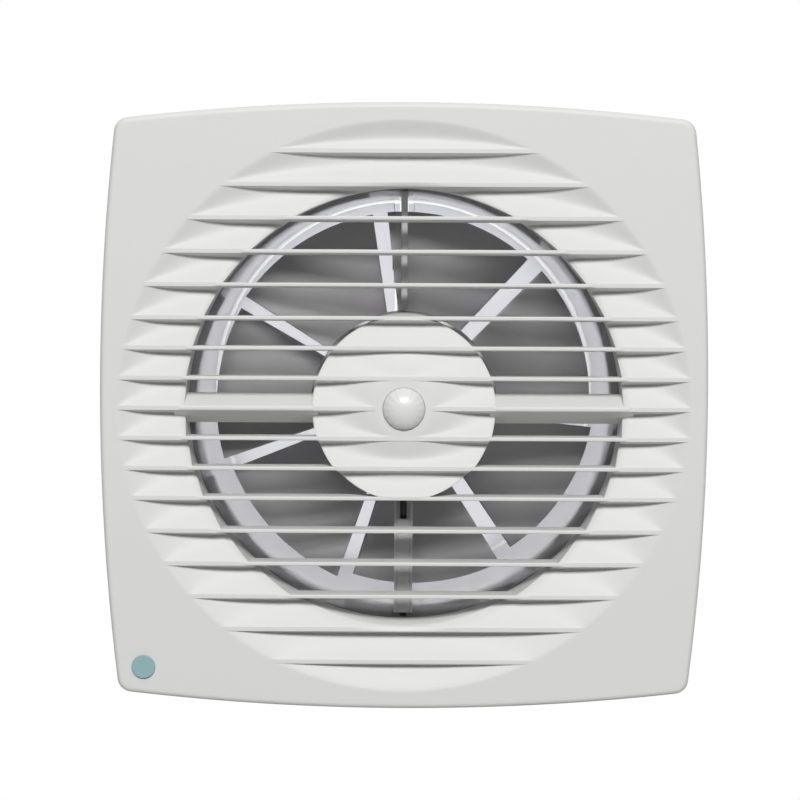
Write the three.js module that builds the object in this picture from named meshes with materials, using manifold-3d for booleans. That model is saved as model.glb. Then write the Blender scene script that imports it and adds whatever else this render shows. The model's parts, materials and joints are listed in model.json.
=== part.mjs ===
// Axial extract fan with a motion sensor, for a wall duct of 150 mm.
// Units are millimetres. +Z is up and the grille faces -Y. The wall's surface is the plane y = 0,
// and the duct's axis is the Y axis, so the origin is where that axis meets the wall.

import * as THREE from "three";
import { mergeVertices } from "three/addons/utils/BufferGeometryUtils.js";
import Module from "manifold-3d";

const wasm = await Module();
wasm.setup();

// Shared dimensions: GAP keeps neighbours apart, TURN is the segments in a round piece, SMALL_TURN those
// in a small one, and CORNER_STEPS those in each arc of an outline.
const GAP = 0.3;
const TURN = 40;
const MEDIUM_TURN = 24;
const SMALL_TURN = 12;
const CORNER_STEPS = 3;

// Cover: a square with bowed sides, a flat fascia and a round dish
const FRONT = -34;
const COVER_BACK = -1.5;
const COVER_HALF = 102.4;
const SIDE_RADIUS = 810;
const CORNER_RADIUS = 5;
const COVER_WALL = 2.2;
const COVER_BEVEL = 1.6;
const DISH_RADIUS = 96;
const DISH_DEPTH = 9.6;
const OPENING_RADIUS = 74;
const COLLAR_WALL = 2;
const COLLAR_BACK = -17.5;
const POST_RADIUS = 3;
const POSTS = [[-84, 84], [84, 84], [-40, -91], [40, -91]];
const POST_BACK = -4;
const BADGE_PLACE = [-88, -88];
const BADGE_RADIUS = 4;

// Louvres: straight lips in the front plane, closer together across the middle
const LIPS_EACH_WAY = 8;
const OPEN_LIPS = 6;
const CLOSE_LIPS = 3;
const CLOSE_PITCH = 10.15;
const WIDE_PITCH = 11.15;
const LIP_THICKNESS = 1.3;
const LOUVRE_DEPTH = 10.6;
const LOUVRE_DROP = 0.55;
const LOUVRE_BACK_THICKNESS = 1.9;
const STEEP_SLOPE = 3;
const GENTLE_SLOPE = 1.3;
const BEAM_DEPTH = 9.5;
const BEAM_UP = 4.8;
const BEAM_DOWN = 5.8;

// Hub disc in the middle of the grille, with the sensor's lens
const HUB_RADIUS = 31;
const HUB_DEPTH = 12.5;
const HUB_DOME = [[10, 0], [20, 3.3], [26, 6.2], [31, 9.4]];
const LENS_RADIUS = 7.1;
const LENS_RISE = 4.2;
const LENS_WALL = 1;
const LENS_FLANGE = 8.1;
const POCKET_RADIUS = 8.4;
const POCKET_FRONT = -30.8;

// Wall plate, duct and motor cup
const PLATE_INSET = 3;
const PLATE_THICKNESS = 2.5;
const PLATE_RIM = 8.5;
const PLATE_RIM_WALL = 2;
const PLATE_HOLE = 74.2;
const DUCT_INNER = 71.5;
const DUCT_OUTER = 73.7;
const DUCT_FRONT = -16.9;
const DUCT_MOUTH = 74;
const DUCT_LIP = 75.5;
const DUCT_LIP_WIDTH = 1.6;
const DUCT_SHOULDER = -6;
const MOUTH_BACK = 0;
const DUCT_END = 80;
const FLANGE_RADIUS = 83;
const FLANGE_FRONT = -5.2;
const FLANGE_BACK = -2.8;
const DUCT_SCREW_PLACES = [30, 150, 270];
const DUCT_SCREW_CIRCLE = 78.5;
const DUCT_SCREW_HOLE = 2;
const FIXING_HOLES = [[-56, 86], [56, 86], [-24, -92], [24, -92]];
const FIXING_HOLE_RADIUS = 2.3;
const CUP_RADIUS = 32;
const CUP_WALL = 2;
const CUP_FRONT = -18;
const CUP_BACK = -4;
const STRUT_FRONT = -16;
const STRUT_BACK = -7;
const STRUT_WIDTH = 3;
const TOP_STRUT_WIDTH = 2.2;
const CHANNEL_WIDTH = 6.4;
const CHANNEL_WALL = 1;
const CHANNEL_FRONT = -16.5;
const CHANNEL_BACK = -10;
const CHANNEL_MOUTH = 7;

// Motor, with its shaft on the duct's axis
const SHAFT_RADIUS = 2;
const CAN_RADIUS = 27;
const CAN_WALL = 1.4;
const CAN_FRONT = -15.7;
const CAN_BACK = -5;
const BEARING_RADIUS = 5;
const BEARING_WIDTH = 3;
const CORE_FRONT = -12;
const CORE_BACK = -9;
const CORE_SLOTS = 6;
const CORE_SLOT_WIDTH = 4.4;
const STATOR_BORE = 14.6;
const ROTOR_RADIUS = 14;
const WINDING_INNER = 16;
const WINDING_OUTER = 23;
const WINDING_WIDTH = 1.6;

// Impeller
const BLADES = 7;
const FIRST_GAP_ANGLE = 97.5;
const BLADE_MIDDLE = 7;
const BLADE_ROOT = 29.5;
const BLADE_TIP = 66.5;
const BLADE_THICKNESS = 1.8;
const ROOT_RISE = 19;
const TIP_RISE = 16;
const BLADE_CAMBER = 1.6;
const ROOT_GAP = 4;
const TIP_GAP = 5.4;
const IMPELLER_HUB_RADIUS = 30.5;
const IMPELLER_HUB_FRONT = -3;
const IMPELLER_HUB_BACK = 17;
const IMPELLER_HUB_WALL = 2;
const IMPELLER_HUB_FACE = 3;
const IMPELLER_BOSS_RADIUS = 6;
const NUT_RADIUS = 4;
const NUT_WIDTH = 3;

// Back-draught shutter in the spigot
const FLAP_RADIUS = 70.7;
const FLAP_Y = 66.5;
const FLAP_THICKNESS = 1.2;
const PIN_RADIUS = 1.2;
const KNUCKLE_RADIUS = 2.6;
const FLAP_START = 3.6;
const KNUCKLE_LENGTH = 14;
const RIGHT_KNUCKLES = [-52, 30];
const LEFT_KNUCKLES = [-30, 52];
const PIN_REACH = 73;
const SPRING = { turns: 3, radius: 2.4, wire: 0.4, reach: 6, stepsPerTurn: 10 };

// Wiring and control, in the two lower corners of the wall plate
const BOARD = { left: 58, right: 90, bottom: -91, top: -61, front: -8, back: -6.4 };
const STANDOFFS = [[61, -64], [87, -88]];
const STANDOFF_RADIUS = 2.2;
const CAPACITOR = { left: 62, right: 78, bottom: -89, top: -80, front: -19 };
const RELAY = { left: 62, right: 76, bottom: -76, top: -66, front: -20 };
const TRIMMER_PLACES = { timer: [84, -68], lux: [84, -80] };
const TRIMMER_RADIUS = 4;
const TRIMMER_SPLIT = -12;
const KNOB_FRONT = -16;
const TERMINALS = { place: [-76, -82], halfWidth: 13, halfHeight: 7, front: -14, back: -2.8 };
const TERMINAL_PLACES = [-8, 0, 8];
const GROMMET_PLACE = [-72, -58];
const GROMMET_HOLE = 7;
const GROMMET_BORE = 3.6;
const GROMMET_LIP = 8.5;
const CLAMP_PLACE = [-76, -70];
const CLAMP_SCREW_OFFSET = 7.5;
const CLAMP_FACE = -6;

// Sensor behind the lens, and its cable
const SENSOR_BOARD_RADIUS = 14;
const SENSOR_BOARD_FRONT = -20.6;
const SENSOR_BOARD_BACK = -19;
const SENSOR_CAN_RADIUS = 4.6;
const SENSOR_CAN_FRONT = -27;
const CABLE_RADIUS = 1.2;
const CABLE_STEPS = 30;
const CABLE_DEPTH = -13.5;
const CABLE_HOLE = 1.9;

function plastic(color, roughness, opacity = 1) {
  return new THREE.MeshStandardMaterial({
    color,
    roughness,
    metalness: 0,
    opacity,
    transparent: opacity < 1,
  });
}

function metal(color, roughness) {
  return new THREE.MeshStandardMaterial({ color, roughness, metalness: 1 });
}

const MATERIALS = {
  cover: plastic(0xdedddb, 0.35),
  clear: plastic(0xd9dbe0, 0.1, 0.35),
  frosted: plastic(0xd2d0ce, 0.3, 0.7),
  impeller: plastic(0x8b888b, 0.45),
  shutter: plastic(0xdcdce4, 0.5),
  plate: plastic(0xe2e2e0, 0.5),
  lens: plastic(0xd2d2d0, 0.3),
  dark: plastic(0x2b2b2d, 0.6),
  board: plastic(0x2f6b45, 0.55),
  badge: plastic(0x5f9aa3, 0.4),
  rubber: plastic(0x3a3a3c, 0.9),
  steel: metal(0xb8babd, 0.35),
  copper: metal(0xb5713c, 0.4),
  capacitor: plastic(0xc9a53a, 0.5),
};

// Booleans

function solid(geometry) {
  const bare = geometry.clone();
  bare.deleteAttribute("normal");
  bare.deleteAttribute("uv");
  const merged = mergeVertices(bare, 1e-4);
  return new wasm.Manifold(
    new wasm.Mesh({
      numProp: 3,
      vertProperties: new Float32Array(merged.attributes.position.array),
      triVerts: new Uint32Array(merged.index.array),
    }),
  );
}

function surface(body) {
  const mesh = body.getMesh();
  const geometry = new THREE.BufferGeometry();
  geometry.setAttribute("position", new THREE.BufferAttribute(mesh.vertProperties, 3));
  geometry.setIndex(new THREE.BufferAttribute(mesh.triVerts, 1));
  return geometry;
}

function joined(geometries) {
  return geometries.map(solid).reduce((sum, next) => sum.add(next));
}

function cut(body, geometries) {
  return geometries.map(solid).reduce((rest, tool) => rest.subtract(tool), body);
}

// Simple shapes

// An outline in X and Z, extruded along Y from front to back.
function slab(outline, front, back, curveSegments = CORNER_STEPS) {
  const geometry = new THREE.ExtrudeGeometry(outline, {
    depth: back - front,
    bevelEnabled: false,
    curveSegments,
  });
  geometry.rotateX(Math.PI / 2);
  geometry.translate(0, back, 0);
  return geometry;
}

// A section in Y and Z, extruded along X from left to right.
function bar(section, left, right) {
  const outline = new THREE.Shape(section.map(([y, z]) => new THREE.Vector2(y, z)));
  const geometry = new THREE.ExtrudeGeometry(outline, { depth: right - left, bevelEnabled: false });
  geometry.applyMatrix4(new THREE.Matrix4().set(0, 0, 1, 0, 1, 0, 0, 0, 0, 1, 0, 0, 0, 0, 0, 1));
  geometry.translate(left, 0, 0);
  return geometry;
}

// A profile of [radius, y] points, turned about the Y axis. It is anticlockwise, and either starts
// and ends on the axis or is closed here.
function turned(profile, segments = TURN) {
  const points = profile.map(([radius, y]) => new THREE.Vector2(radius, y));
  if (profile[0][0] > 0) {
    points.push(points[0].clone());
  }
  return new THREE.LatheGeometry(points, segments);
}

function disc(radius, front, back, segments = TURN) {
  return turned([[0, front], [radius, front], [radius, back], [0, back]], segments);
}

function tube(inner, outer, front, back, segments = TURN) {
  return turned([[inner, front], [outer, front], [outer, back], [inner, back]], segments);
}

function block(left, right, front, back, bottom, top) {
  const geometry = new THREE.BoxGeometry(right - left, back - front, top - bottom);
  geometry.translate((left + right) / 2, (front + back) / 2, (bottom + top) / 2);
  return geometry;
}

function at(geometry, [x, z]) {
  geometry.translate(x, 0, z);
  return geometry;
}

// Cover

// The square with bowed sides, drawn inset from the cover's own outline.
function bowedSquare(inset) {
  const half = COVER_HALF - inset;
  const radius = SIDE_RADIUS - inset;
  const corner = Math.max(CORNER_RADIUS - inset, 0.8);
  const toCentre = radius - half;
  const reach = radius - corner;
  const middle = (Math.sqrt(2 * reach * reach - toCentre * toCentre) - toCentre) / 2;
  const halfSweep = Math.atan2(middle, middle + toCentre);
  const outline = new THREE.Shape();
  for (let side = 0; side < 4; side += 1) {
    const facing = (side * Math.PI) / 2;
    const x = -toCentre * Math.cos(facing);
    const z = -toCentre * Math.sin(facing);
    outline.absarc(x, z, radius, facing - halfSweep, facing + halfSweep);
    const diagonal = facing + Math.PI / 4;
    const cornerX = middle * Math.SQRT2 * Math.cos(diagonal);
    const cornerZ = middle * Math.SQRT2 * Math.sin(diagonal);
    const quarterEnd = facing + Math.PI / 2 - halfSweep;
    outline.absarc(cornerX, cornerZ, corner, facing + halfSweep, quarterEnd);
  }
  return outline;
}

function lipHeight(index) {
  const count = Math.abs(index);
  const close = Math.min(count, CLOSE_LIPS) * CLOSE_PITCH;
  const wide = Math.max(count - CLOSE_LIPS, 0) * WIDE_PITCH;
  return Math.sign(index) * (close + wide);
}

// Behind each lip the moulding widens: steeply below it, gently above it.
function lipWedge(index) {
  const height = lipHeight(index);
  const low = height - LIP_THICKNESS / 2;
  const high = height + LIP_THICKNESS / 2;
  const depth = DISH_DEPTH + 1;
  const section = [
    [FRONT, high],
    [FRONT, low],
    [FRONT + depth, low - depth / STEEP_SLOPE],
    [FRONT + depth, high + depth / GENTLE_SLOPE],
  ];
  return bar(section, -DISH_RADIUS, DISH_RADIUS);
}

function lipIndexes(eachWay) {
  return Array.from({ length: 2 * eachWay + 1 }, (_, step) => step - eachWay);
}

// The dish falls from the fascia to the opening in a soft S.
const DISH_CURVE = [
  [DISH_RADIUS, 0],
  [91, 1.4],
  [84, 5.2],
  [77, 8.9],
  [OPENING_RADIUS, DISH_DEPTH],
];

function dishShell() {
  const back = DISH_CURVE.slice(1, -2).map(([radius, depth]) => [radius + 1, FRONT + depth + 2]);
  const front = DISH_CURVE.map(([radius, depth]) => [radius, FRONT + depth]).reverse();
  return turned([
    [DISH_RADIUS + 0.6, FRONT + 0.4],
    [DISH_RADIUS + 0.6, FRONT + COVER_WALL - 0.1],
    ...back,
    [OPENING_RADIUS + COLLAR_WALL, FRONT + DISH_DEPTH + 1.2],
    [OPENING_RADIUS + COLLAR_WALL, COLLAR_BACK],
    [OPENING_RADIUS, COLLAR_BACK],
    ...front,
  ]);
}

// The space in front of the dish, reaching a little into its shell.
function dishSpace() {
  const floor = DISH_CURVE.map(([radius, depth]) => [radius, FRONT + depth + 0.8]);
  return turned([[OPENING_RADIUS, FRONT], [DISH_RADIUS, FRONT], ...floor]);
}

function coverShell() {
  const outer = new THREE.ExtrudeGeometry(bowedSquare(0), {
    depth: COVER_BACK - FRONT,
    bevelThickness: COVER_BEVEL,
    bevelSize: COVER_BEVEL,
    bevelOffset: -COVER_BEVEL,
    bevelSegments: 1,
    curveSegments: CORNER_STEPS,
  });
  outer.rotateX(Math.PI / 2);
  outer.translate(0, COVER_BACK + COVER_BEVEL, 0);
  const reach = 2 * COVER_HALF;
  return cut(solid(outer), [
    block(-reach, reach, COVER_BACK, COVER_BACK + 4 * COVER_BEVEL, -reach, reach),
    block(-reach, reach, FRONT - 4 * COVER_BEVEL, FRONT, -reach, reach),
    slab(bowedSquare(COVER_WALL), FRONT + COVER_WALL, COVER_BACK + 1),
    disc(DISH_RADIUS, FRONT - 1, FRONT + COVER_WALL + 1),
  ]);
}

function coverFrame() {
  const wedges = joined(lipIndexes(LIPS_EACH_WAY).map(lipWedge)).intersect(solid(dishSpace()));
  const posts = POSTS.map((place) =>
    at(disc(POST_RADIUS, FRONT + COVER_WALL - 0.6, POST_BACK, SMALL_TURN), place),
  );
  return surface(coverShell().add(solid(dishShell())).add(wedges).add(joined(posts)));
}

// A louvre's section about its own lip; grow thickens it all round.
function louvreSection(grow) {
  const front = LIP_THICKNESS / 2 + grow;
  const back = LOUVRE_BACK_THICKNESS / 2 + grow;
  const depth = LOUVRE_DEPTH + grow;
  return [
    [FRONT + 0.4, front],
    [FRONT, front - 0.3],
    [FRONT, 0.3 - front],
    [FRONT + 0.4, -front],
    [FRONT + depth, -LOUVRE_DROP - back],
    [FRONT + depth, -LOUVRE_DROP + back],
  ];
}

// The middle louvre widens both ways into a wedge.
function beamSection() {
  return [
    [FRONT, 0.6],
    [FRONT, -0.6],
    [FRONT + BEAM_DEPTH, -BEAM_DOWN],
    [FRONT + BEAM_DEPTH, BEAM_UP],
  ];
}

function openingBore(height) {
  const bore = disc(OPENING_RADIUS - GAP, FRONT - 1, COLLAR_BACK);
  return solid(at(bore, [0, -height]));
}

function louvre(index) {
  const long = solid(bar(louvreSection(0), -OPENING_RADIUS, OPENING_RADIUS));
  return surface(long.intersect(openingBore(lipHeight(index))));
}

function beam(side) {
  const ends = side < 0 ? [-OPENING_RADIUS, 0] : [0, OPENING_RADIUS];
  const long = solid(bar(beamSection(), ...ends)).intersect(openingBore(0));
  return surface(cut(long, [disc(HUB_RADIUS + GAP, FRONT - 1, COLLAR_BACK)]));
}

function hubDisc() {
  const dome = HUB_DOME.map(([radius, depth]) => [radius, FRONT + depth]);
  const body = turned([[0, FRONT], ...dome, [HUB_RADIUS, FRONT + HUB_DEPTH], [0, FRONT + HUB_DEPTH]]);
  const deeper = HUB_DOME.map(([radius, depth]) => [radius, FRONT + depth + 0.5]).reverse();
  const space = turned([[0, FRONT], [HUB_RADIUS, FRONT], ...deeper, [0, FRONT + 0.5]]);
  const wedges = joined(lipIndexes(CLOSE_LIPS).map(lipWedge)).intersect(solid(space));
  const slots = lipIndexes(CLOSE_LIPS)
    .filter((index) => index !== 0)
    .map((index) => {
      const slot = bar(louvreSection(GAP), -HUB_RADIUS - 1, HUB_RADIUS + 1);
      slot.translate(0, -0.01, lipHeight(index));
      return slot;
    });
  return surface(
    cut(solid(body).add(wedges), [
      ...slots,
      disc(LENS_RADIUS + GAP, FRONT - 1, 0, MEDIUM_TURN),
      disc(POCKET_RADIUS, POCKET_FRONT, 0, MEDIUM_TURN),
    ]),
  );
}

// A thin dome with a flange that sits behind the disc.
function sensorLens() {
  const rings = 4;
  const bulge = (radius, rise) =>
    Array.from({ length: rings + 1 }, (_, ring) => {
      const angle = (ring / rings) * (Math.PI / 2);
      return [radius * Math.sin(angle), FRONT - rise * Math.cos(angle)];
    });
  const outer = bulge(LENS_RADIUS, LENS_RISE);
  const inner = bulge(LENS_RADIUS - LENS_WALL, LENS_RISE - LENS_WALL);
  return turned(
    [
      ...outer,
      [LENS_RADIUS, POCKET_FRONT + GAP],
      [LENS_FLANGE, POCKET_FRONT + GAP],
      [LENS_FLANGE, POCKET_FRONT + GAP + LENS_WALL],
      [LENS_RADIUS - LENS_WALL, POCKET_FRONT + GAP + LENS_WALL],
      ...inner.reverse(),
    ],
    MEDIUM_TURN,
  );
}

// The ring that holds the lens's flange in the disc's pocket.
function lensRing() {
  const front = POCKET_FRONT + LENS_WALL + 2 * GAP;
  return tube(LENS_RADIUS - LENS_WALL, POCKET_RADIUS - GAP, front, front + 1.5, MEDIUM_TURN);
}

function coverBadge() {
  return disc(BADGE_RADIUS, FRONT - 0.9, FRONT - GAP, MEDIUM_TURN);
}

// Wall plate, duct, cup and struts

function wallPlate() {
  const outline = bowedSquare(PLATE_INSET);
  const plate = slab(outline, -PLATE_THICKNESS - PLATE_RIM, 0);
  const hollow = slab(bowedSquare(PLATE_INSET + PLATE_RIM_WALL), -40, -PLATE_THICKNESS);
  const discs = (places, radius, front, back) =>
    places.map((place) => at(disc(radius, front, back, SMALL_TURN), place));
  const sockets = discs(POSTS, POST_RADIUS + 2.4, -9, -1);
  const socketBores = discs(POSTS, POST_RADIUS + 0.5, -10, -3);
  const standoffs = discs(STANDOFFS, STANDOFF_RADIUS, BOARD.back + GAP, -1);
  const fixings = discs(FIXING_HOLES, FIXING_HOLE_RADIUS, -10, 1);
  const body = cut(solid(plate), [hollow]).add(joined([...sockets, ...standoffs]));
  return surface(
    cut(body, [
      disc(PLATE_HOLE, -10, 1),
      at(disc(GROMMET_HOLE, -10, 1, MEDIUM_TURN), GROMMET_PLACE),
      ...socketBores,
      ...fixings,
      ...ductScrewHoles(),
    ]),
  );
}

function onCircle(degrees) {
  const angle = THREE.MathUtils.degToRad(degrees);
  return [DUCT_SCREW_CIRCLE * Math.cos(angle), DUCT_SCREW_CIRCLE * Math.sin(angle)];
}

// The pipe widens in front into a mouth behind the cover's opening.
function ductTube() {
  const pipe = turned([
    [DUCT_MOUTH, DUCT_FRONT],
    [DUCT_LIP, DUCT_FRONT],
    [DUCT_LIP, DUCT_FRONT + DUCT_LIP_WIDTH],
    [DUCT_OUTER, DUCT_SHOULDER],
    [DUCT_OUTER, DUCT_END],
    [DUCT_INNER, DUCT_END],
    [DUCT_INNER, MOUTH_BACK],
  ]);
  const pinHoles = upright(PIN_RADIUS + GAP, -80, 80, SMALL_TURN);
  pinHoles.translate(0, FLAP_Y, 0);
  const cableHole = upright(CABLE_HOLE, -80, -60, SMALL_TURN);
  cableHole.translate(0, CABLE_DEPTH, 0);
  return surface(cut(solid(pipe), [pinHoles, cableHole]));
}

function ductFlange() {
  const plate = tube(DUCT_OUTER + GAP, FLANGE_RADIUS, FLANGE_FRONT, FLANGE_BACK);
  return surface(cut(solid(plate), ductScrewHoles()));
}

function ductScrewHoles() {
  return DUCT_SCREW_PLACES.map((angle) =>
    at(disc(DUCT_SCREW_HOLE, -10, 1, SMALL_TURN), onCircle(angle)),
  );
}

// A cylinder along Z.
function upright(radius, bottom, top, segments = 16) {
  const geometry = new THREE.CylinderGeometry(radius, radius, top - bottom, segments);
  geometry.rotateX(Math.PI / 2);
  geometry.translate(0, 0, (bottom + top) / 2);
  return geometry;
}

function motorCup() {
  return turned([
    [0, CUP_FRONT],
    [CUP_RADIUS, CUP_FRONT],
    [CUP_RADIUS, CUP_BACK],
    [CUP_RADIUS - CUP_WALL, CUP_BACK],
    [CUP_RADIUS - CUP_WALL, CUP_FRONT + CUP_WALL],
    [0, CUP_FRONT + CUP_WALL],
  ]);
}

// How far out a strut reaches at one depth: just short of the widening duct wall.
function strutReach(y) {
  const share = Math.max((MOUTH_BACK - y) / (MOUTH_BACK - DUCT_FRONT), 0);
  return THREE.MathUtils.lerp(DUCT_INNER, DUCT_MOUTH, share) - 2 * GAP;
}

// A rib from the cup to the duct wall, drawn along +X.
function strut(width) {
  const start = CUP_RADIUS + 2 * GAP;
  const outline = new THREE.Shape([
    new THREE.Vector2(start, STRUT_FRONT),
    new THREE.Vector2(strutReach(STRUT_FRONT), STRUT_FRONT),
    new THREE.Vector2(strutReach(STRUT_BACK), STRUT_BACK),
    new THREE.Vector2(start, STRUT_BACK),
  ]);
  const rib = new THREE.ExtrudeGeometry(outline, { depth: width, bevelEnabled: false });
  rib.translate(0, 0, -width / 2);
  return rib;
}

// The lower strut is a channel, open behind and beside the cup, that carries the sensor's cable.
function cableChannel() {
  const half = CHANNEL_WIDTH / 2;
  const inside = half - CHANNEL_WALL;
  const bottom = -strutReach(CHANNEL_BACK);
  const top = -(CUP_RADIUS + 2 * GAP);
  const outer = block(-half, half, CHANNEL_FRONT, CHANNEL_BACK, bottom, top);
  const inner = block(-inside, inside, CHANNEL_FRONT + CHANNEL_WALL, 0, bottom - 1, top + 1);
  const mouth = block(-inside, inside, CHANNEL_FRONT - 1, 0, top - CHANNEL_MOUTH, top + 1);
  return surface(cut(solid(outer), [inner, mouth]));
}

// Motor

function motorCan() {
  return turned([
    [BEARING_RADIUS + GAP, CAN_FRONT],
    [CAN_RADIUS, CAN_FRONT],
    [CAN_RADIUS, CAN_BACK],
    [CAN_RADIUS - CAN_WALL, CAN_BACK],
    [CAN_RADIUS - CAN_WALL, CAN_FRONT + CAN_WALL],
    [BEARING_RADIUS + GAP, CAN_FRONT + CAN_WALL],
  ]);
}

function motorEndPlate() {
  return tube(BEARING_RADIUS + GAP, CAN_RADIUS - CAN_WALL - GAP, CAN_BACK - 1.4, CAN_BACK);
}

function statorCore() {
  const outer = CAN_RADIUS - CAN_WALL - GAP;
  const half = CORE_SLOT_WIDTH / 2;
  const slots = Array.from({ length: CORE_SLOTS }, (_, index) => {
    const slot = block(STATOR_BORE - 2, outer - 3, -30, 0, -half, half);
    slot.rotateY((index * 2 * Math.PI) / CORE_SLOTS);
    return slot;
  });
  return surface(cut(solid(tube(STATOR_BORE, outer, CORE_FRONT, CORE_BACK)), slots));
}

function rotorMagnet() {
  return tube(SHAFT_RADIUS + GAP, ROTOR_RADIUS, CORE_FRONT, CORE_BACK, MEDIUM_TURN);
}

// A ring of copper wire in front of the core or behind it.
function winding(front) {
  return tube(WINDING_INNER, WINDING_OUTER, front, front + WINDING_WIDTH, MEDIUM_TURN);
}

function motorShaft() {
  return disc(SHAFT_RADIUS, CAN_FRONT + GAP, IMPELLER_HUB_BACK + 4, MEDIUM_TURN);
}

function bearing() {
  return tube(SHAFT_RADIUS + GAP, BEARING_RADIUS, 0, BEARING_WIDTH, MEDIUM_TURN);
}

// Impeller

// A point on a blade: along goes from root to tip, across from the front edge to the rear one.
function bladePoint(along, across, face) {
  const radius = THREE.MathUtils.lerp(BLADE_ROOT, BLADE_TIP, along);
  const gap = THREE.MathUtils.lerp(ROOT_GAP, TIP_GAP, along);
  const rise = THREE.MathUtils.lerp(ROOT_RISE, TIP_RISE, along);
  const span = (2 * Math.PI) / BLADES - gap / radius;
  const angle = (0.5 - across) * span;
  const camber = BLADE_CAMBER * Math.sin(Math.PI * across);
  const y = BLADE_MIDDLE + (across - 0.5) * rise + camber + (face * BLADE_THICKNESS) / 2;
  return [radius * Math.cos(angle), y, radius * Math.sin(angle)];
}

// The edge of a sheet of cells, as [row, column] pairs in order round it.
function sheetRim(rows, columns) {
  const rowSteps = Array.from({ length: rows }, (_, row) => row);
  const columnSteps = Array.from({ length: columns }, (_, column) => column);
  return [
    ...rowSteps.map((row) => [row, 0]),
    ...columnSteps.map((column) => [rows, column]),
    ...rowSteps.map((row) => [rows - row, columns]),
    ...columnSteps.map((column) => [0, columns - column]),
  ];
}

// One blade as a closed sheet of cells, standing at +X.
function blade(rows = 4, columns = 6) {
  const positions = [];
  const index = [];
  const vertex = (row, column, face) => (face * (rows + 1) + row) * (columns + 1) + column;
  const quad = (a, b, c, d) => index.push(a, b, c, a, c, d);
  for (const face of [0, 1]) {
    for (let row = 0; row <= rows; row += 1) {
      for (let column = 0; column <= columns; column += 1) {
        positions.push(...bladePoint(row / rows, column / columns, 2 * face - 1));
      }
    }
  }
  for (let row = 0; row < rows; row += 1) {
    for (let column = 0; column < columns; column += 1) {
      const corners = [[row, column], [row, column + 1], [row + 1, column + 1], [row + 1, column]];
      quad(...corners.map(([r, c]) => vertex(r, c, 0)));
      quad(...corners.reverse().map(([r, c]) => vertex(r, c, 1)));
    }
  }
  const rim = sheetRim(rows, columns);
  rim.forEach(([row, column], step) => {
    const [nextRow, nextColumn] = rim[(step + 1) % rim.length];
    quad(
      vertex(row, column, 0),
      vertex(nextRow, nextColumn, 0),
      vertex(nextRow, nextColumn, 1),
      vertex(row, column, 1),
    );
  });
  const geometry = new THREE.BufferGeometry();
  geometry.setAttribute("position", new THREE.Float32BufferAttribute(positions, 3));
  geometry.setIndex(index);
  return geometry;
}

// The hub is a cup, open behind, with a boss for the shaft in its middle.
function impeller() {
  const pitch = 360 / BLADES;
  const blades = Array.from({ length: BLADES }, (_, index) => {
    const turnedBlade = blade();
    const angle = FIRST_GAP_ANGLE + (index + 0.5) * pitch;
    turnedBlade.rotateY(-THREE.MathUtils.degToRad(angle));
    return turnedBlade;
  });
  const hub = disc(IMPELLER_HUB_RADIUS, IMPELLER_HUB_FRONT, IMPELLER_HUB_BACK);
  const floor = IMPELLER_HUB_FRONT + IMPELLER_HUB_FACE;
  const inside = disc(IMPELLER_HUB_RADIUS - IMPELLER_HUB_WALL, floor, 30);
  const bossBack = IMPELLER_HUB_BACK - IMPELLER_HUB_FACE;
  const boss = disc(IMPELLER_BOSS_RADIUS, IMPELLER_HUB_FRONT + 1, bossBack, MEDIUM_TURN);
  const bore = disc(SHAFT_RADIUS + GAP, -10, 30, MEDIUM_TURN);
  const cup = cut(joined([hub, ...blades]), [inside]);
  return surface(cut(cup.add(solid(boss)), [bore]));
}

// Shutter: two half discs that fold back on one upright pin

function flap(side, knuckles) {
  const outline = new THREE.Shape();
  const startAngle = Math.acos(FLAP_START / FLAP_RADIUS);
  if (side > 0) {
    outline.absarc(0, 0, FLAP_RADIUS, -startAngle, startAngle);
  } else {
    outline.absarc(0, 0, FLAP_RADIUS, Math.PI - startAngle, Math.PI + startAngle);
  }
  const half = FLAP_THICKNESS / 2;
  const leaf = slab(outline, -half, half, 16);
  const rolls = knuckles.map((height) =>
    upright(KNUCKLE_RADIUS, height - KNUCKLE_LENGTH / 2, height + KNUCKLE_LENGTH / 2, 16),
  );
  const webs = knuckles.map((height) => {
    const [left, right] = side > 0 ? [0, FLAP_START + 1] : [-FLAP_START - 1, 0];
    const reach = KNUCKLE_LENGTH / 2;
    return block(left, right, -half, half, height - reach, height + reach);
  });
  const bore = upright(PIN_RADIUS + GAP, -FLAP_RADIUS, FLAP_RADIUS, 16);
  return surface(cut(joined([leaf, ...rolls, ...webs]), [bore]));
}

function shutterSpring() {
  const { turns, radius, wire, reach, stepsPerTurn } = SPRING;
  const steps = stepsPerTurn * turns;
  const points = Array.from({ length: steps + 1 }, (_, step) => {
    const angle = (step / stepsPerTurn) * 2 * Math.PI;
    const height = -reach + (2 * reach * step) / steps;
    return new THREE.Vector3(radius * Math.cos(angle), radius * Math.sin(angle), height);
  });
  const section = new THREE.Shape();
  section.absarc(0, 0, wire, 0, 2 * Math.PI);
  const extrudePath = new THREE.CatmullRomCurve3(points);
  return new THREE.ExtrudeGeometry(section, { steps, extrudePath, curveSegments: CORNER_STEPS });
}

// Wiring and control

function controlBoard() {
  const { left, right, bottom, top, front, back } = BOARD;
  return block(left, right, front, back, bottom, top);
}

// A component of the control board, standing on its front.
function boardPart({ left, right, bottom, top, front }) {
  return block(left, right, front, BOARD.front - GAP, bottom, top);
}

function terminalBlock() {
  const { halfWidth, halfHeight, front, back } = TERMINALS;
  const body = block(-halfWidth, halfWidth, front, back, -halfHeight, halfHeight);
  const wells = TERMINAL_PLACES.map((x) => at(disc(2.4, front - 1, -9, SMALL_TURN), [x, 2.5]));
  const entries = TERMINAL_PLACES.map((x) => block(x - 2, x + 2, -8, -4.5, -halfHeight - 1, -2));
  return surface(cut(solid(body), [...wells, ...entries]));
}

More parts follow.
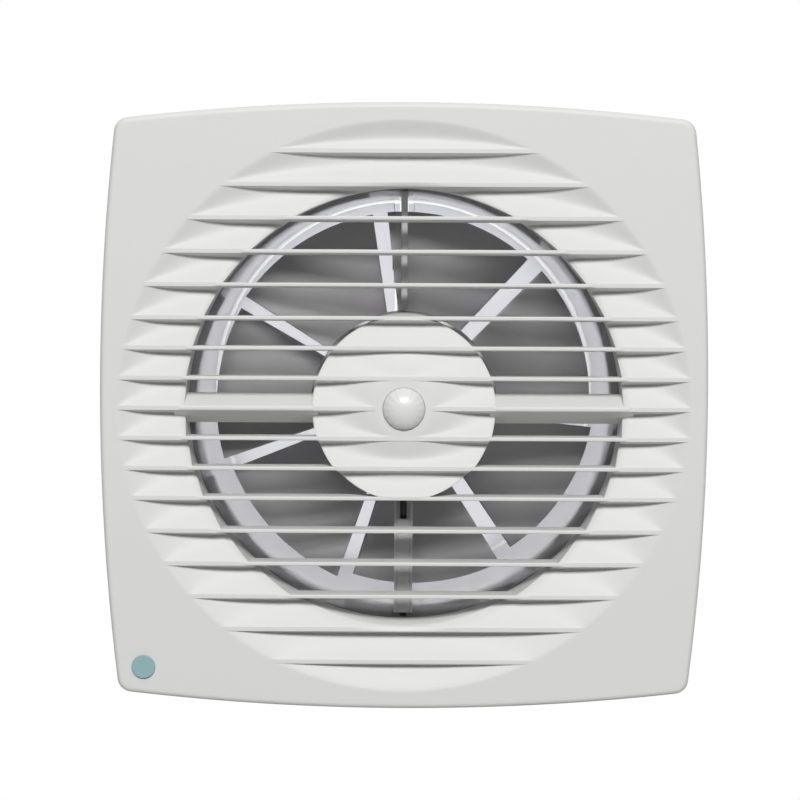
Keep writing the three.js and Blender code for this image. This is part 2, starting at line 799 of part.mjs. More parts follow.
function trimmerBase() {
  return disc(TRIMMER_RADIUS, TRIMMER_SPLIT, BOARD.front - GAP, MEDIUM_TURN);
}

// A small knob with a pointer slot across its face.
function trimmerKnob() {
  const knob = solid(disc(TRIMMER_RADIUS - 0.8, KNOB_FRONT, TRIMMER_SPLIT - GAP, MEDIUM_TURN));
  return surface(cut(knob, [block(-0.5, 0.5, KNOB_FRONT - 1, KNOB_FRONT + 1, -1, TRIMMER_RADIUS)]));
}

function cableGrommet() {
  const seat = -PLATE_THICKNESS - GAP;
  const neck = GROMMET_HOLE - GAP;
  return turned(
    [
      [GROMMET_BORE, seat - 1.8],
      [GROMMET_LIP, seat - 1.8],
      [GROMMET_LIP, seat],
      [neck, seat],
      [neck, -0.2],
      [GROMMET_BORE, -0.2],
    ],
    MEDIUM_TURN,
  );
}

// A strap with an arch over the supply cable and a screw at each end.
function cableClamp() {
  const back = -PLATE_THICKNESS - GAP;
  const strap = block(-10, 10, CLAMP_FACE, back, -2, 2);
  const arch = block(-4, 4, CLAMP_FACE - 4, back, -2, 2);
  const inside = block(-2.6, 2.6, CLAMP_FACE - 2.4, 0, -3, 3);
  const holes = [-CLAMP_SCREW_OFFSET, CLAMP_SCREW_OFFSET].map((x) =>
    at(disc(1.6, -12, 0, SMALL_TURN), [x, 0]),
  );
  return surface(cut(joined([strap, arch]), [inside, ...holes]));
}

// A round-headed screw whose head is seated at y = 0, with its shank along +Y.
function screw(headRadius, shankRadius, length) {
  const body = turned(
    [
      [0, -1.8],
      [headRadius * 0.7, -1.7],
      [headRadius, -0.8],
      [headRadius, -0.1],
      [shankRadius, -0.1],
      [shankRadius, length],
      [0, length],
    ],
    16,
  );
  const slot = block(-headRadius, headRadius, -3, -1.1, -0.35, 0.35);
  return surface(cut(solid(body), [slot]));
}

// The sensor's cable: from the control board, through the duct wall, up the lower strut's channel
// and over the front of the motor cup.
const CABLE_ROUTE = [
  [57.4, -9.6, -78],
  [44, -9.6, -80],
  [24, -9.6, -81],
  [8, -10.4, -80.5],
  [1.4, -12.6, -78],
  [0, CABLE_DEPTH, -74],
  [0, CABLE_DEPTH, -60],
  [0, CABLE_DEPTH, -40],
  [0, -16.2, -36.4],
  [0, -19.5, -33.6],
  [0, -19.6, -28],
  [0, -19.6, -14.6],
];

function sensorCable() {
  const sheath = new THREE.Shape();
  sheath.absarc(0, 0, CABLE_RADIUS, 0, 2 * Math.PI);
  const extrudePath = new THREE.CatmullRomCurve3(
    CABLE_ROUTE.map((point) => new THREE.Vector3(...point)),
    false,
    "centripetal",
  );
  return new THREE.ExtrudeGeometry(sheath, { steps: CABLE_STEPS, extrudePath, curveSegments: 4 });
}

// Assembly

const fan = new THREE.Group();

function place(name, geometry, material, position = [0, 0, 0], rotation = [0, 0, 0]) {
  const mesh = new THREE.Mesh(geometry, MATERIALS[material]);
  mesh.name = name;
  mesh.position.set(...position);
  mesh.rotation.set(...rotation);
  fan.add(mesh);
}

function inPlane([x, z]) {
  return [x, 0, z];
}

function addCover() {
  place("cover_frame", coverFrame(), "cover");
  place("hub_disc", hubDisc(), "cover");
  for (let index = 1; index <= OPEN_LIPS; index += 1) {
    place(`upper_louvre_${index}`, louvre(index), "cover", [0, 0, lipHeight(index)]);
    place(`lower_louvre_${index}`, louvre(-index), "cover", [0, 0, lipHeight(-index)]);
  }
  place("beam_left", beam(-1), "cover");
  place("beam_right", beam(1), "cover");
  place("sensor_lens", sensorLens(), "lens");
  place("lens_ring", lensRing(), "plate");
  place("corner_badge", coverBadge(), "badge", inPlane(BADGE_PLACE));
}

function addHousing() {
  place("wall_plate", wallPlate(), "plate");
  place("duct_tube", ductTube(), "clear");
  place("duct_flange", ductFlange(), "clear");
  place("motor_cup", motorCup(), "frosted");
  place("strut_right", strut(STRUT_WIDTH), "frosted");
  place("strut_top", strut(TOP_STRUT_WIDTH), "frosted", [0, 0, 0], [0, -Math.PI / 2, 0]);
  place("strut_left", strut(STRUT_WIDTH), "frosted", [0, 0, 0], [0, Math.PI, 0]);
  place("strut_bottom", cableChannel(), "frosted");
  DUCT_SCREW_PLACES.forEach((angle, index) => {
    const [x, z] = onCircle(angle);
    const seat = FLANGE_FRONT - GAP;
    place(`duct_screw_${index + 1}`, screw(3, 1.6, 5), "steel", [x, seat, z]);
  });
}

function addMotor() {
  place("motor_can", motorCan(), "steel");
  place("motor_end_plate", motorEndPlate(), "steel");
  place("stator_core", statorCore(), "steel");
  place("winding_front", winding(CORE_FRONT - GAP - WINDING_WIDTH), "copper");
  place("winding_rear", winding(CORE_BACK + GAP), "copper");
  place("bearing_front", bearing(), "steel", [0, CAN_FRONT + 0.2, 0]);
  place("bearing_rear", bearing(), "steel", [0, CAN_BACK - BEARING_WIDTH, 0]);
  place("motor_shaft", motorShaft(), "steel");
  place("rotor_magnet", rotorMagnet(), "dark");
  place("impeller", impeller(), "impeller");
  const nutFront = IMPELLER_HUB_BACK - IMPELLER_HUB_FACE + GAP;
  const nut = tube(SHAFT_RADIUS + GAP, NUT_RADIUS, nutFront, nutFront + NUT_WIDTH, 6);
  place("impeller_nut", nut, "steel");
}

function addSensor() {
  const canBack = SENSOR_BOARD_FRONT - GAP;
  place("sensor_board", disc(SENSOR_BOARD_RADIUS, SENSOR_BOARD_FRONT, SENSOR_BOARD_BACK), "board");
  place("sensor_can", disc(SENSOR_CAN_RADIUS, SENSOR_CAN_FRONT, canBack, MEDIUM_TURN), "steel");
  place("sensor_cable", sensorCable(), "rubber");
}

function addShutter() {
  place("shutter_pin", upright(PIN_RADIUS, -PIN_REACH, PIN_REACH, SMALL_TURN), "steel", [0, FLAP_Y, 0]);
  place("shutter_spring", shutterSpring(), "steel", [0, FLAP_Y, 0]);
  place("flap_right", flap(1, RIGHT_KNUCKLES), "shutter", [0, FLAP_Y, 0]);
  place("flap_left", flap(-1, LEFT_KNUCKLES), "shutter", [0, FLAP_Y, 0]);
}

function addWiring() {
  place("control_board", controlBoard(), "board");
  place("capacitor", boardPart(CAPACITOR), "capacitor");
  place("relay", boardPart(RELAY), "dark");
  for (const [purpose, trimmerPlace] of Object.entries(TRIMMER_PLACES)) {
    place(`${purpose}_base`, trimmerBase(), "dark", inPlane(trimmerPlace));
    place(`${purpose}_knob`, trimmerKnob(), "cover", inPlane(trimmerPlace));
  }
  place("terminal_block", terminalBlock(), "cover", inPlane(TERMINALS.place));
  place("cable_grommet", cableGrommet(), "rubber", inPlane(GROMMET_PLACE));
  place("cable_clamp", cableClamp(), "plate", inPlane(CLAMP_PLACE));
  const [clampX, clampZ] = CLAMP_PLACE;
  for (const [side, name] of [[-1, "clamp_screw_left"], [1, "clamp_screw_right"]]) {
    const x = clampX + side * CLAMP_SCREW_OFFSET;
    place(name, screw(2.4, 1.3, 2.6), "steel", [x, CLAMP_FACE - GAP, clampZ]);
  }
}

addCover();
addHousing();
addMotor();
addSensor();
addShutter();
addWiring();

export default fan;
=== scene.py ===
"""Wall extract fan: fine meshes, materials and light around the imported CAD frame. Lengths are in metres."""

import json
import math

import bmesh
import bpy
import numpy as np
from mathutils import Matrix, Vector

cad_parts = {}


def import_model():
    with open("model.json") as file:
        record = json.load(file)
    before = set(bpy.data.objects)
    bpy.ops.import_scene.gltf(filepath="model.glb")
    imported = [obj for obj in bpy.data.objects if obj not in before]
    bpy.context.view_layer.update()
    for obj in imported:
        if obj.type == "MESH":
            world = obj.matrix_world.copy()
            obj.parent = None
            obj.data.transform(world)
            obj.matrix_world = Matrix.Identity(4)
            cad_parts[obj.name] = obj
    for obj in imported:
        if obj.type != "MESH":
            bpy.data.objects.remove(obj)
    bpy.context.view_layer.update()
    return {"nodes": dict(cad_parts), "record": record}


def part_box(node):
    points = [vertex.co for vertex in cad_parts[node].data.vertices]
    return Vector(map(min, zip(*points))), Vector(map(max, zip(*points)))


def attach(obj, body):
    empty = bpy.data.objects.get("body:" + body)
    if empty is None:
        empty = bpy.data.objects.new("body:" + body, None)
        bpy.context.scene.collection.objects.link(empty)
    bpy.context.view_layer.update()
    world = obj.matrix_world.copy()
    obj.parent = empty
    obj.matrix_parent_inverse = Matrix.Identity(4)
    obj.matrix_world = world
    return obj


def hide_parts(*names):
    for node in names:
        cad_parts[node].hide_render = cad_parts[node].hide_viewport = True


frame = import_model()

MM = 0.001
TURN = 2 * math.pi

# Places that come from the frame
COVER_LOW, COVER_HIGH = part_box("cover_frame")
FRONT = COVER_LOW.y
COVER_BACK = COVER_HIGH.y
COVER_HALF = COVER_HIGH.x
HUB_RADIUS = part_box("hub_disc")[1].x
HUB_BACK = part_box("hub_disc")[1].y

# Cover
SIDE_RADIUS = 810 * MM
CORNER_RADIUS = 5 * MM
EDGE_RADIUS = 1.8 * MM
EDGE_STEPS = 8
BACK_EDGE = 0.4 * MM
INNER_BACK_EDGE = 0.3 * MM
WALL = 2.2 * MM
DISH_RADIUS = 96.8 * MM
OPENING_RADIUS = 74 * MM
DISH_SLOPE = 0.42
RIM_SOFTNESS = 1.1 * MM
ROLL_WIDTH = 2.6 * MM
ROLL_RADIUS = 4 * MM
COVER_POSTS = ((-84, 84), (84, 84), (-40, -91), (40, -91))
COLLAR_BACK = -17.5 * MM
COLLAR_WALL = 1.8 * MM
DISH_INSIDE = ((97, 0.2), (92, 2.2), (86, 4.2), (81, 6), (78, 7))
POST_RADIUS = 2.9 * MM
POST_TAPER = 1.2 * MM
POST_BACK = -4.2 * MM

# Steps of the fine mesh: rows inside a circle's top, above a lip and below it, in millimetres, and the
# columns' shares of the way across the dish
CIRCLE_ROWS = (0.05, 0.15, 0.35, 0.7, 1.2, 1.8)
OVER_LIP_ROWS = (0.12, 0.3, 0.6, 1.0)
UNDER_LIP_ROWS = (0.1, 0.25, 0.5, 0.8, 1.1, 1.5, 1.9, 2.3, 2.8, 3.3)
ROW_STEP = 0.55 * MM
LEAST_ROW = 0.04 * MM
ROLL_SHARES = (0, 0.004, 0.015, 0.035, 0.06, 0.09, 0.12)
HUB_EDGE_SHARES = (0.065, 0.04, 0.02, 0.006, 0)

# Louvres
LIPS_EACH_WAY = 8
OPEN_LIPS = 6
CLOSE_LIPS = 3
CLOSE_PITCH = 10.15 * MM
WIDE_PITCH = 11.15 * MM
LIP = 1.3 * MM
LIP_SOFTNESS = 0.22 * MM
STEEP_SLOPE = 4.8
GENTLE_SLOPE = 0.74
LOUVRE_DEPTH = 10.6 * MM
LOUVRE_BACK = 1.8 * MM
LOUVRE_DROP = 0.55 * MM
LOUVRE_ROOT = 3.5 * MM
LOUVRE_ROUNDING = 0.42 * MM
NOSE_INSET = 0.04 * MM
BEAM_DEPTH = 9.5 * MM
BEAM_UP = 4.6 * MM
BEAM_DOWN = 5.6 * MM
BEAM_LAND = 0.8 * MM
BEAM_ROUNDING = 0.5 * MM

# Hub disc and lens
DOME_FLAT = 9 * MM
DOME_DEPTH = 8 * MM
DOME_POWER = 1.6
LOUVRE_IN_HUB = 2 * MM
HUB_EDGE = 0.7 * MM
HUB_EDGE_RADIUS = 0.9 * MM
LENS_RADIUS = 7.1 * MM
LENS_RISE = 4.2 * MM
LENS_HOLE = 7.2 * MM
LENS_WALL = 1 * MM
LENS_FLANGE = 8.1 * MM
FLANGE_FRONT = FRONT + 3.6 * MM
FLANGE_BACK = FRONT + 4.5 * MM
POCKET_BACK = FRONT + 3.2 * MM
LENS_SEGMENTS = 96
LENS_ROWS = 24
LENS_FACETS = 16
LENS_FACET = 0.03
POLE = 0.02

# Impeller
BLADES = 7
FIRST_GAP = math.radians(97.5)
BLADE_MIDDLE = 7 * MM
BLADE_ROOT = 30 * MM
BLADE_TIP = 66.5 * MM
BLADE_THICKNESS = 1.8 * MM
ROOT_RISE = 19 * MM
TIP_RISE = 16 * MM
CAMBER = 1.6 * MM
ROOT_GAP = 4 * MM
TIP_GAP = 5.4 * MM
IMPELLER_HUB = 30.5 * MM
IMPELLER_HUB_WALL = 2 * MM
IMPELLER_HUB_BACK = 17 * MM
BOSS_RADIUS = 6 * MM
BOSS_BACK = 14 * MM
SHAFT_BORE = 2.3 * MM
BLADE_EDGE = 0.8 * MM

# Duct, cup, struts and shutter
DUCT_INNER = 71.5 * MM
DUCT_OUTER = 73.7 * MM
DUCT_MOUTH = 74 * MM
DUCT_LIP = 75.5 * MM
DUCT_SHOULDER = -6 * MM
MOUTH_BACK = 0.0
CUP_RADIUS = 32 * MM
CUP_WALL = 2 * MM
ROD_WIDTH = 2.2 * MM
STRUT_WIDTH = 3 * MM
STRUT_GAP = 0.6 * MM
STRUT_ROUNDING = 0.5 * MM
STRUT_STEPS = 12
FOOT_SPREAD = 0.5
FOOT_FADE = 38 / 30 * MM
CHANNEL_WIDTH = 6.4 * MM
CHANNEL_WALL = 1 * MM
CHANNEL_MOUTH = 7 * MM
FLAP_RADIUS = 70.7 * MM
FLAP_START = 3.6 * MM
FLAP_THICKNESS = 1.2 * MM
KNUCKLE_RADIUS = 2.6 * MM
KNUCKLE_LENGTH = 14 * MM
TONGUES = ((8, 22.5), (37.5, 44.5), (59.5, 70.2))
TONGUE_START = 1.7 * MM
TONGUE_EDGE = 0.3 * MM
PIN_HOLE = 1.5 * MM
LEAF_EDGE = 0.35 * MM
KNUCKLE_EDGE = 0.3 * MM
RIGHT_KNUCKLES = (-52, 30)
LEFT_KNUCKLES = (-30, 52)
FLAP_Y = 66.5 * MM

# Camera: a little above the duct's axis
VIEW_DISTANCE = 700 * MM
VIEW_HEIGHT = math.radians(4.5)
VIEW_ROLL = math.radians(0.24)
VIEW_AIM = Vector((-1.35 * MM, FRONT, 3.0 * MM))
LENS_LENGTH = 93.75

# Light
KEY_PLACE = (0.1, -2.2, 1.38)
KEY_WIDTH = 1.3
KEY_HEIGHT = 0.6
WORLD_BELOW = 0.03
WORLD_ABOVE = 0.42
WORLD_BEHIND = 1.0
KEY_POWER = 60
FLOOR_HEIGHT = -1.0
FLOOR_RADIUS = 1.5
FLOOR_THICKNESS = 0.03


# Materials

def material(name, color, roughness, grain=0.0, bump=0.0, scale=900.0, vary=0.04, **sockets):
    """A principled surface with a fine mottle in its colour and a fine grain in its relief."""
    made = bpy.data.materials.new(name)
    made.use_nodes = True
    tree = made.node_tree
    shader = tree.nodes["Principled BSDF"]
    shader.inputs["Roughness"].default_value = roughness
    for socket, value in sockets.items():
        shader.inputs[socket.replace("_", " ")].default_value = value
    place = tree.nodes.new("ShaderNodeTexCoord")
    cloud = tree.nodes.new("ShaderNodeTexNoise")
    cloud.inputs["Scale"].default_value = 38.0
    cloud.inputs["Detail"].default_value = 4.0
    tree.links.new(place.outputs["Object"], cloud.inputs["Vector"])
    mix = tree.nodes.new("ShaderNodeMix")
    mix.data_type = "RGBA"
    mix.inputs[6].default_value = (*[c * (1 - vary) for c in color], 1)
    mix.inputs[7].default_value = (*[min(c * (1 + vary), 1) for c in color], 1)
    tree.links.new(cloud.outputs["Fac"], mix.inputs[0])
    tree.links.new(mix.outputs[2], shader.inputs["Base Color"])
    if grain:
        speck = tree.nodes.new("ShaderNodeTexNoise")
        speck.inputs["Scale"].default_value = scale
        speck.inputs["Detail"].default_value = 3.0
        tree.links.new(place.outputs["Object"], speck.inputs["Vector"])
        relief = tree.nodes.new("ShaderNodeBump")
        relief.inputs["Strength"].default_value = bump
        relief.inputs["Distance"].default_value = grain
        tree.links.new(speck.outputs["Fac"], relief.inputs["Height"])
        tree.links.new(relief.outputs["Normal"], shader.inputs["Normal"])
    return made


def all_materials():
    return {
        "cover_plastic": material(
            "cover_plastic", (0.72, 0.72, 0.71), 0.5, 0.02 * MM, 0.12, 1400, 0.01, Specular_IOR_Level=0.3
        ),
        "plate_plastic": material("plate_plastic", (0.74, 0.74, 0.73), 0.5, 0.05 * MM, 0.3, 1600, 0.02),
        "clear_plastic": material(
            "clear_plastic", (0.8, 0.8, 0.81), 0.12, 0.1 * MM, 0.05, 60, 0.01, Transmission_Weight=0.75
        ),
        "frosted_plastic": material(
            "frosted_plastic", (0.74, 0.74, 0.74), 0.35, 0.05 * MM, 0.2, 300, 0.02, Transmission_Weight=0.35
        ),
        "impeller_plastic": material("impeller_plastic", (0.55, 0.54, 0.55), 0.5, 0.03 * MM, 0.2, 1100, 0.03),
        "shutter_plastic": material(
            "shutter_plastic", (0.95, 0.95, 1.0), 0.7, 0.05 * MM, 0.3, 900, 0.01, Transmission_Weight=0.9
        ),
        "lens_plastic": material("lens_plastic", (0.76, 0.76, 0.75), 0.32, 0.02 * MM, 0.1, 700, 0.03),
        "badge_plastic": material("badge_plastic", (0.3, 0.48, 0.5), 0.3, 0.02 * MM, 0.1, 900, 0.05),
        "knob_plastic": material("knob_plastic", (0.72, 0.72, 0.7), 0.4, 0.03 * MM, 0.2, 900, 0.03),
        "steel": material("steel", (0.6, 0.61, 0.62), 0.32, 0.02 * MM, 0.2, 500, 0.05, Metallic=1.0),
        "copper_wire": material("copper_wire", (0.6, 0.3, 0.14), 0.35, 0.2 * MM, 0.8, 260, 0.1, Metallic=1.0),
        "magnet": material("magnet", (0.06, 0.06, 0.065), 0.55, 0.05 * MM, 0.3, 700, 0.1),
        "circuit_board": material("circuit_board", (0.05, 0.2, 0.1), 0.4, 0.05 * MM, 0.4, 300, 0.15),
        "dark_plastic": material("dark_plastic", (0.035, 0.035, 0.04), 0.45, 0.05 * MM, 0.3, 900, 0.1),
        "capacitor_film": material("capacitor_film", (0.62, 0.45, 0.1), 0.4, 0.05 * MM, 0.3, 700, 0.06),
        "soft_rubber": material("soft_rubber", (0.03, 0.03, 0.032), 0.7, 0.05 * MM, 0.4, 900, 0.1),
    }


MATERIALS = all_materials()


SLOTS = {row["node"]: row["material_slot"] for row in frame["record"]["subparts"]}


# Pieces inside and behind that keep the frame's shape, with the width of their broken edges
REFINED = {
    "housing": {
        "wall_plate": 0.35,
        "duct_flange": 0.3,
        "duct_screw_1": 0.12,
        "duct_screw_2": 0.12,
        "duct_screw_3": 0.12,
        "motor_can": 0.3,
        "motor_end_plate": 0.2,
        "stator_core": 0.15,
        "winding_front": 0.45,
        "winding_rear": 0.45,
        "bearing_front": 0.25,
        "bearing_rear": 0.25,
        "sensor_board": 0.1,
        "sensor_can": 0.3,
        "sensor_cable": 0,
        "shutter_pin": 0.15,
        "shutter_spring": 0,
        "control_board": 0.1,
        "capacitor": 0.6,
        "relay": 0.4,
        "timer_base": 0.3,
        "lux_base": 0.3,
        "terminal_block": 0.3,
        "cable_grommet": 0.3,
        "cable_clamp": 0.3,
        "clamp_screw_left": 0.1,
        "clamp_screw_right": 0.1,
    },
    "cover": {"lens_ring": 0.2},
    "rotor": {"motor_shaft": 0.15, "rotor_magnet": 0.2, "impeller_nut": 0.2},
    "timer": {"timer_knob": 0.2},
    "lux": {"lux_knob": 0.2},
}


# Mesh helpers

def piece(name, verts, faces, slot, body, replaces=(), crease=35.0, merge=2e-6):
    """A mesh object with its doubled points merged, riding on a body."""
    mesh = bpy.data.meshes.new(name)
    mesh.from_pydata([tuple(v) for v in verts], [], [tuple(f) for f in faces])
    work = bmesh.new()
    work.from_mesh(mesh)
    bmesh.ops.remove_doubles(work, verts=work.verts, dist=merge)
    bmesh.ops.dissolve_degenerate(work, edges=work.edges, dist=merge / 2)
    bmesh.ops.recalc_face_normals(work, faces=work.faces)
    work.to_mesh(mesh)
    work.free()
    mesh.polygons.foreach_set("use_smooth", [True] * len(mesh.polygons))
    mesh.set_sharp_from_angle(angle=math.radians(crease))
    mesh.materials.append(MATERIALS[slot])
    made = bpy.data.objects.new(name, mesh)
    bpy.context.scene.collection.objects.link(made)
    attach(made, body)
    if replaces:
        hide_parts(*replaces)
    return made


class Shape:
    """Points and faces gathered from several grids and loops."""

    def __init__(self):
        self.verts = []
        self.faces = []

    def add(self, points, faces):
        start = len(self.verts)
        self.verts.extend(map(tuple, points))
        self.faces.extend([tuple(start + i for i in face) for face in faces])

    def grid(self, points, close_rows=False, close_columns=False):
        """points[row][column] become quads."""
        points = np.asarray(points, float)
        rows, columns = points.shape[:2]
        faces = []
        for row in range(rows if close_rows else rows - 1):
            for column in range(columns if close_columns else columns - 1):
                next_row = (row + 1) % rows
                next_column = (column + 1) % columns
                faces.append(
                    (
                        row * columns + column,
                        row * columns + next_column,
                        next_row * columns + next_column,
                        next_row * columns + column,
                    )
                )
        self.add(points.reshape(-1, 3), faces)

    def turned(self, profile, segments=128, close=False):
        """A profile of (radius, y) points turned about the Y axis."""
        angles = np.linspace(0, TURN, segments, endpoint=False)
        rows = [[(r * math.cos(a), y, r * math.sin(a)) for a in angles] for r, y in profile]
        self.grid(rows, close_rows=close, close_columns=True)

    def capped(self, loops):
        """A skin over closed loops, with the first and the last loop filled."""
        self.grid(loops, close_columns=True)
        for loop in (loops[0], loops[-1]):
            self.add(loop, [tuple(range(len(loop)))])

    def extruded(self, loop, left, right):
        """A closed (y, z) loop extruded along X, with its ends closed."""
        self.capped([[(x, y, z) for y, z in loop] for x in (left, right)])


def rounded(points, radius, steps=4):
    """A closed polygon with its corners rounded."""
    out = []
    count = len(points)
    for i, point in enumerate(points):
        here = Vector(point)
        before = Vector(points[i - 1]) - here
        after = Vector(points[(i + 1) % count]) - here
        reach = min(radius, before.length * 0.45, after.length * 0.45)
        start = here + before.normalized() * reach
        end = here + after.normalized() * reach
        for step in range(steps + 1):
            t = step / steps
            out.append(tuple((1 - t) ** 2 * start + 2 * t * (1 - t) * here + t * t * end))
    return out


def refined(name, body, width):
    """A copy of a CAD node with its sharp edges broken and its round faces smooth."""
    work = bmesh.new()
    work.from_mesh(frame["nodes"][name].data)
    bmesh.ops.remove_doubles(work, verts=work.verts, dist=2e-6)
    bmesh.ops.dissolve_limit(work, angle_limit=math.radians(1), verts=work.verts, edges=work.edges)
    sharp = [edge for edge in work.edges if edge.is_manifold and edge.calc_face_angle() > math.radians(50)]
    if width:
        bmesh.ops.bevel(
            work, geom=sharp, offset=width * MM, segments=2, profile=0.6, affect="EDGES", clamp_overlap=True
        )
    bmesh.ops.triangulate(work, faces=work.faces)
    verts = [tuple(vert.co) for vert in work.verts]
    faces = [tuple(vert.index for vert in face.verts) for face in work.faces]
    work.free()
    return piece(f"{name}_fine", verts, faces, SLOTS[name], body, [name], merge=1e-7)


# Cover

def lip_height(index):
    count = abs(index)
    height = min(count, CLOSE_LIPS) * CLOSE_PITCH + max(count - CLOSE_LIPS, 0) * WIDE_PITCH
    return math.copysign(height, index)


LIPS = [lip_height(index) for index in range(-LIPS_EACH_WAY, LIPS_EACH_WAY + 1)]


def soft(distance, softness):
    """Distance that starts from nothing along a small curve."""
    return np.sqrt(distance**2 + softness**2) - softness


def shallower(a, b, power):
    """The smaller of two depths, blended where they meet."""
    a = np.maximum(a, 1e-9)
    b = np.maximum(b, 1e-9)
    return (a**-power + b**-power) ** (-1 / power)


def with_lips(depth, z):
    """Fills a hollow in towards the front plane at each lip: steeply below it, gently above it."""
    z = np.asarray(z, float)
    below = np.full_like(z, 1.0)
    above = np.full_like(z, 1.0)
    for height in LIPS:
        under = height - LIP / 2 - z
        over = z - height - LIP / 2
        on_lip = (under < 0) & (over < 0)
        below = np.where(under >= 0, np.minimum(below, under), below)
        above = np.where(over >= 0, np.minimum(above, over), above)
        below = np.where(on_lip, 0, below)
        above = np.where(on_lip, 0, above)
    gentle = GENTLE_SLOPE * soft(above, LIP_SOFTNESS)
    steep = STEEP_SLOPE * soft(below, LIP_SOFTNESS)
    filled = shallower(depth * 1000, gentle * 1000, 2)
    return shallower(filled, steep * 1000, 6) / 1000


def rolled(distance, width, radius):
    """Extra depth of an edge that rolls back over a width, at a distance inside it."""
    inside = np.clip(width - distance, 0, width)
    return radius - np.sqrt(radius**2 - inside**2)


def dish_depth(x, z):
    radius = np.hypot(x, z)
    fall = soft(np.clip(DISH_RADIUS - radius, 0, None), RIM_SOFTNESS)
    depth = DISH_SLOPE * fall
    return with_lips(depth, z) + rolled(radius - OPENING_RADIUS, ROLL_WIDTH, ROLL_RADIUS)


def hub_depth(x, z):
    radius = np.hypot(x, z)
    share = np.clip((radius - DOME_FLAT) / (HUB_RADIUS - DOME_FLAT), 0, 1)
    depth = DOME_DEPTH * share**DOME_POWER
    return with_lips(depth, z) + rolled(HUB_RADIUS - radius, HUB_EDGE, HUB_EDGE_RADIUS)


def row_heights(inner, outer):
    """Rows for a ring: along every lip's edges, closer where a circle's top is nearly level."""
    found = list(np.arange(-outer, outer, ROW_STEP))
    for sign in (-1, 1):
        found += [sign * outer, sign * inner]
        for level in CIRCLE_ROWS:
            found += [sign * (outer - level * MM), sign * (inner - level * MM), sign * (inner + level * MM)]
    for height in LIPS:
        top = height + LIP / 2
        bottom = height - LIP / 2
        found += [height, top, bottom]
        found += [top + step * MM for step in OVER_LIP_ROWS]
        found += [bottom - step * MM for step in UNDER_LIP_ROWS]
    keep = []
    for height in sorted(found):
        outside = abs(height) > outer + 1e-9
        too_close = keep and height - keep[-1] < LEAST_ROW
        if not outside and not too_close:
            keep.append(height)
    keep[-1] = outer
    return np.array(keep)


def half_ring(side, inner, outer, heights, shares, depth):
    """One half of a ring, as rows of points from its inner circle to its outer one."""
    rows = []
    for z in heights:
        start = math.sqrt(max(inner**2 - z**2, 0))
        end = math.sqrt(max(outer**2 - z**2, 0))
        x = side * (start + (end - start) * shares)
        y = FRONT + depth(x, np.full_like(x, z))
        rows.append(np.stack([x, y, np.full_like(x, z)], 1))
    return np.array(rows)


def ring_face(shape, inner, outer, depth, shares):
    """Adds the ring's face, and gives its outer and inner edge's points in order round it."""
    heights = row_heights(inner, outer)
    right = half_ring(1, inner, outer, heights, shares, depth)
    left = half_ring(-1, inner, outer, heights, shares, depth)
    shape.grid(right)
    shape.grid(left)
    outer_edge = np.concatenate([right[:, -1], left[::-1, -1][1:-1]])
    inside = np.abs(heights) <= inner + 1e-9
    inner_right, inner_left = right[inside, 0], left[inside, 0]
    inner_edge = np.concatenate([inner_right, inner_left[::-1][1:-1]])
    return outer_edge, inner_edge


def outline_reach(angle, inset):
    """How far the bowed square's outline is from the centre in one direction."""
    to_centre = SIDE_RADIUS - COVER_HALF
    side = SIDE_RADIUS - inset
    corner = CORNER_RADIUS - inset
    between = side - corner
    middle = (math.sqrt(2 * between**2 - to_centre**2) - to_centre) / 2
    stretch = side / between
    meeting = math.atan2(middle * stretch, (middle + to_centre) * stretch - to_centre)
    turned_back = (angle + math.pi / 4) % (math.pi / 2) - math.pi / 4
    if abs(turned_back) <= meeting:
        across = to_centre * math.sin(turned_back)
        return math.sqrt(side**2 - across**2) - to_centre * math.cos(turned_back)
    spread = abs(turned_back) - math.pi / 4
    diagonal = middle * math.sqrt(2)
    return diagonal * math.cos(spread) + math.sqrt(corner**2 - (diagonal * math.sin(spread)) ** 2)


def outline_loop(angles, inset, y):
    reach = [outline_reach(a, inset) for a in angles]
    return [(r * math.cos(a), y, r * math.sin(a)) for a, r in zip(angles, reach)]


def ring_loop(angles, radius, y):
    return [(radius * math.cos(a), y, radius * math.sin(a)) for a in angles]


def cover_back(angles):
    """Loops from the cover's rim, over its side and its inner wall, to the collar's end."""
    inset = EDGE_RADIUS + 0.5 * MM
    loops = [ring_loop(angles, DISH_RADIUS + 0.4 * MM, FRONT), outline_loop(angles, inset, FRONT)]
    for turn in np.linspace(0, math.pi / 2, EDGE_STEPS):
        inset = EDGE_RADIUS * (1 - math.sin(turn))
        loops.append(outline_loop(angles, inset, FRONT + EDGE_RADIUS * (1 - math.cos(turn))))
    for inset, y in (
        (0, COVER_BACK - BACK_EDGE),
        (BACK_EDGE, COVER_BACK),
        (WALL - INNER_BACK_EDGE, COVER_BACK),
        (WALL, COVER_BACK - INNER_BACK_EDGE),
        (WALL, FRONT + WALL + 1 * MM),
        (WALL + 1 * MM, FRONT + WALL),
    ):
        loops.append(outline_loop(angles, inset, y))
    for radius, depth in DISH_INSIDE:
        loops.append(ring_loop(angles, radius * MM, FRONT + WALL + depth * MM))
    collar = OPENING_RADIUS + COLLAR_WALL
    loops.append(ring_loop(angles, collar, FRONT + WALL + 8 * MM))
    loops.append(ring_loop(angles, collar, COLLAR_BACK))
    loops.append(ring_loop(angles, OPENING_RADIUS, COLLAR_BACK))
    return loops


